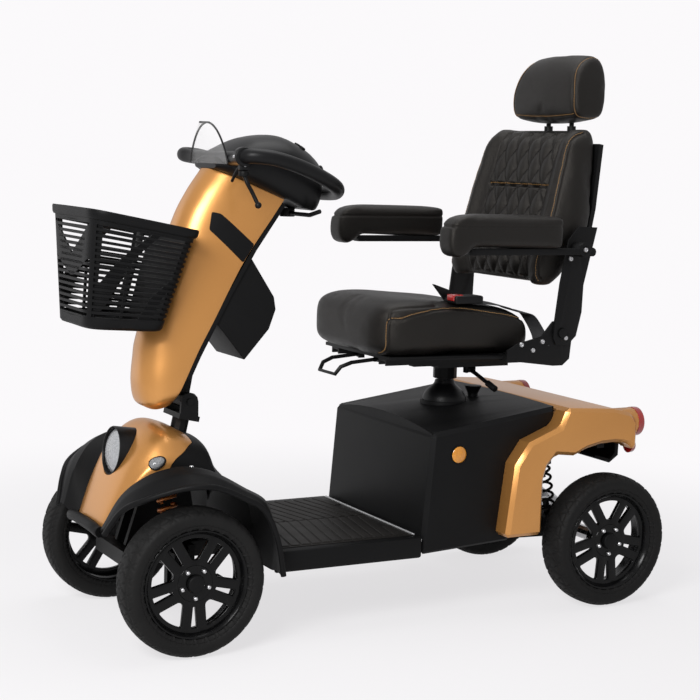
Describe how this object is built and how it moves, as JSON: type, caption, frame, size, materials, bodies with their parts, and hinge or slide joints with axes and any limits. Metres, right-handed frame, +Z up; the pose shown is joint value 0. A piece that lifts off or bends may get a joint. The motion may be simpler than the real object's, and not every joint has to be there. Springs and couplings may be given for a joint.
{
  "type": "mobility scooter",
  "caption": "Four-wheel mobility scooter with a tilting tiller, loop handlebar, basket, low deck, sprung axles and a swivelling padded seat with armrests and headrest.",
  "frame": {"origin": "centre of the bounding box at floor level, between the wheels", "axes": "+Y to the rear, the front faces -Y, +X to the rider's left, +Z up"},
  "size_m": [0.632, 1.455, 1.367],
  "materials": {
    "gold_paint": "satin metallic paint",
    "black_plastic": "satin moulded",
    "black_steel": "satin powder coat",
    "black_rim": "satin black cast alloy",
    "bright_metal": "bright zinc",
    "copper_spring": "copper coloured coat",
    "tyre_rubber": "matt",
    "black_leather": "fine grain with tan stitching",
    "red_lens": "clear gloss",
    "clear_lens": "clear"
  },
  "bodies": {
    "frame": {"chassis_frame": "black_steel", "front_cowl": "gold_paint", "scuttle_cover": "black_plastic", "headlight_bezel": "black_plastic", "headlight_lens": "clear_lens", "front_mudguard": "black_plastic", "floor_pan": "black_plastic", "battery_cover": "black_plastic", "battery_pack": "black_plastic", "rear_cover": "gold_paint", "rear_bumper": "black_plastic", "tail_light_left": "red_lens", "tail_light_right": "red_lens", "seat_post_boot": "black_plastic", "front_spring_left": "copper_spring", "front_spring_right": "copper_spring", "rear_spring_left": "copper_spring", "rear_spring_right": "copper_spring"},
    "front_arm_left": {"front_arm_left": "black_steel"},
    "front_arm_right": {"front_arm_right": "black_steel"},
    "knuckle_left": {"knuckle_left": "black_steel"},
    "knuckle_right": {"knuckle_right": "black_steel"},
    "front_left_wheel": {"front_left_rim": "black_rim", "front_left_tyre": "tyre_rubber"},
    "front_right_wheel": {"front_right_rim": "black_rim", "front_right_tyre": "tyre_rubber"},
    "rear_left_wheel": {"rear_left_rim": "black_rim", "rear_left_tyre": "tyre_rubber"},
    "rear_right_wheel": {"rear_right_rim": "black_rim", "rear_right_tyre": "tyre_rubber"},
    "tie_rod": {"tie_rod": "bright_metal"},
    "steering_yoke": {"steering_yoke": "black_steel"},
    "tiller": {"tiller_post": "black_steel", "tiller_shroud": "gold_paint", "tiller_rear_strip": "black_plastic", "storage_box": "black_plastic", "console": "black_plastic", "handlebar": "black_plastic", "windscreen": "clear_lens", "basket": "black_plastic"},
    "brake_lever": {"brake_lever": "black_plastic"},
    "throttle_paddle": {"throttle_paddle": "black_plastic"},
    "speed_knob": {"speed_knob": "black_plastic"},
    "rear_axle": {"rear_swing_arm": "black_steel", "transaxle": "black_steel"},
    "seat_post": {"seat_post": "black_steel"},
    "seat_base": {"seat_base": "black_steel"},
    "swivel_lever": {"swivel_lever": "black_steel"},
    "seat": {"seat_frame": "black_steel", "seat_cushion": "black_leather"},
    "slide_lever": {"slide_lever": "black_steel"},
    "backrest": {"back_frame": "black_steel", "backrest_cushion": "black_leather"},
    "headrest": {"headrest_posts": "black_steel", "headrest": "black_leather"},
    "armrest_left": {"armrest_arm_left": "black_steel", "armrest_pad_left": "black_leather"},
    "armrest_right": {"armrest_arm_right": "black_steel", "armrest_pad_right": "black_leather"}
  },
  "joints": [
    {"name": "steering", "type": "hinge", "parent": "frame", "child": "steering_yoke", "pos_m": [0, -0.4655, 0.451], "axis": [0, 0.2079, 0.9781], "range_deg": [-28, 28]},
    {"name": "knuckle_left_turn", "type": "hinge", "parent": "front_arm_left", "child": "knuckle_left", "pos_m": [0.186, -0.5355, 0.165], "axis": [0, 0, 1], "range_deg": [-29, 29]},
    {"name": "knuckle_right_turn", "type": "hinge", "parent": "front_arm_right", "child": "knuckle_right", "pos_m": [-0.186, -0.5355, 0.165], "axis": [0, 0, 1], "range_deg": [-29, 29]},
    {"name": "tie_rod_slide", "type": "slide", "parent": "frame", "child": "tie_rod", "axis": [1, 0, 0], "range_m": [-0.037, 0.037]},
    {"name": "front_arm_left_travel", "type": "hinge", "parent": "frame", "child": "front_arm_left", "pos_m": [0.075, -0.5355, 0.185], "axis": [0, -1, 0], "range_deg": [-5, 5], "stiffness_Nm_per_rad": 6000, "deforming": ["front_spring_left"]},
    {"name": "front_arm_right_travel", "type": "hinge", "parent": "frame", "child": "front_arm_right", "pos_m": [-0.075, -0.5355, 0.185], "axis": [0, 1, 0], "range_deg": [-5, 5], "stiffness_Nm_per_rad": 6000, "deforming": ["front_spring_right"]},
    {"name": "front_left_wheel_spin", "type": "hinge", "parent": "knuckle_left", "child": "front_left_wheel", "pos_m": [0.258, -0.5355, 0.165], "axis": [1, 0, 0], "continuous": true},
    {"name": "front_right_wheel_spin", "type": "hinge", "parent": "knuckle_right", "child": "front_right_wheel", "pos_m": [-0.258, -0.5355, 0.165], "axis": [1, 0, 0], "continuous": true},
    {"name": "rear_axle_travel", "type": "hinge", "parent": "frame", "child": "rear_axle", "pos_m": [0, 0.3135, 0.165], "axis": [1, 0, 0], "range_deg": [-3.5, 3.5], "stiffness_Nm_per_rad": 12000, "deforming": ["rear_spring_left", "rear_spring_right"]},
    {"name": "rear_left_wheel_spin", "type": "hinge", "parent": "rear_axle", "child": "rear_left_wheel", "pos_m": [0.272, 0.5625, 0.165], "axis": [1, 0, 0], "continuous": true},
    {"name": "rear_right_wheel_spin", "type": "hinge", "parent": "rear_axle", "child": "rear_right_wheel", "pos_m": [-0.272, 0.5625, 0.165], "axis": [1, 0, 0], "continuous": true},
    {"name": "tiller_tilt", "type": "hinge", "parent": "steering_yoke", "child": "tiller", "pos_m": [0, -0.4575, 0.524], "axis": [1, 0, 0], "range_deg": [0, 15]},
    {"name": "brake_lever_pull", "type": "hinge", "parent": "tiller", "child": "brake_lever", "pos_m": [0.17, -0.3905, 1.046], "axis": [0, 0, 1], "range_deg": [0, 12], "stiffness_Nm_per_rad": 0.5},
    {"name": "throttle_press", "type": "hinge", "parent": "tiller", "child": "throttle_paddle", "pos_m": [0, -0.1985, 0.966], "axis": [0, 0, 1], "range_deg": [-15, 15], "stiffness_Nm_per_rad": 1},
    {"name": "speed_knob_turn", "type": "hinge", "parent": "tiller", "child": "speed_knob", "pos_m": [0.026, -0.1445, 1.054], "axis": [0, 1, 0], "range_deg": [0, 270]},
    {"name": "seat_height", "type": "slide", "parent": "frame", "child": "seat_post", "axis": [0, 0, 1], "range_m": [0, 0.05]},
    {"name": "seat_swivel", "type": "hinge", "parent": "seat_post", "child": "seat_base", "pos_m": [0, 0.2535, 0.589], "axis": [0, 0, 1], "range_deg": [-90, 90]},
    {"name": "swivel_lever_lift", "type": "hinge", "parent": "seat_base", "child": "swivel_lever", "pos_m": [0.058, 0.2885, 0.572], "axis": [0, -1, 0], "range_deg": [0, 12], "stiffness_Nm_per_rad": 1},
    {"name": "seat_slide", "type": "slide", "parent": "seat_base", "child": "seat", "axis": [0, -1, 0], "range_m": [-0.06, 0.04]},
    {"name": "slide_lever_lift", "type": "hinge", "parent": "seat", "child": "slide_lever", "pos_m": [0, 0.0335, 0.606], "axis": [-1, 0, 0], "range_deg": [0, 7], "stiffness_Nm_per_rad": 2},
    {"name": "backrest_recline", "type": "hinge", "parent": "seat", "child": "backrest", "pos_m": [0, 0.4285, 0.68], "axis": [1, 0, 0], "range_deg": [-12, 18]},
    {"name": "armrest_left_lift", "type": "hinge", "parent": "backrest", "child": "armrest_left", "pos_m": [0.272, 0.4585, 0.884], "axis": [-1, 0, 0], "range_deg": [0, 95]},
    {"name": "armrest_right_lift", "type": "hinge", "parent": "backrest", "child": "armrest_right", "pos_m": [-0.272, 0.4585, 0.884], "axis": [-1, 0, 0], "range_deg": [0, 95]},
    {"name": "headrest_height", "type": "slide", "parent": "backrest", "child": "headrest", "axis": [0, 0, 1], "range_m": [0, 0.05]}
  ],
  "couplings": [
    {"joint": "knuckle_left_turn", "follows": "steering", "ratio": 1},
    {"joint": "knuckle_right_turn", "follows": "steering", "ratio": 1},
    {"joint": "tie_rod_slide", "follows": "steering", "m_per_rad": -0.0727}
  ]
}
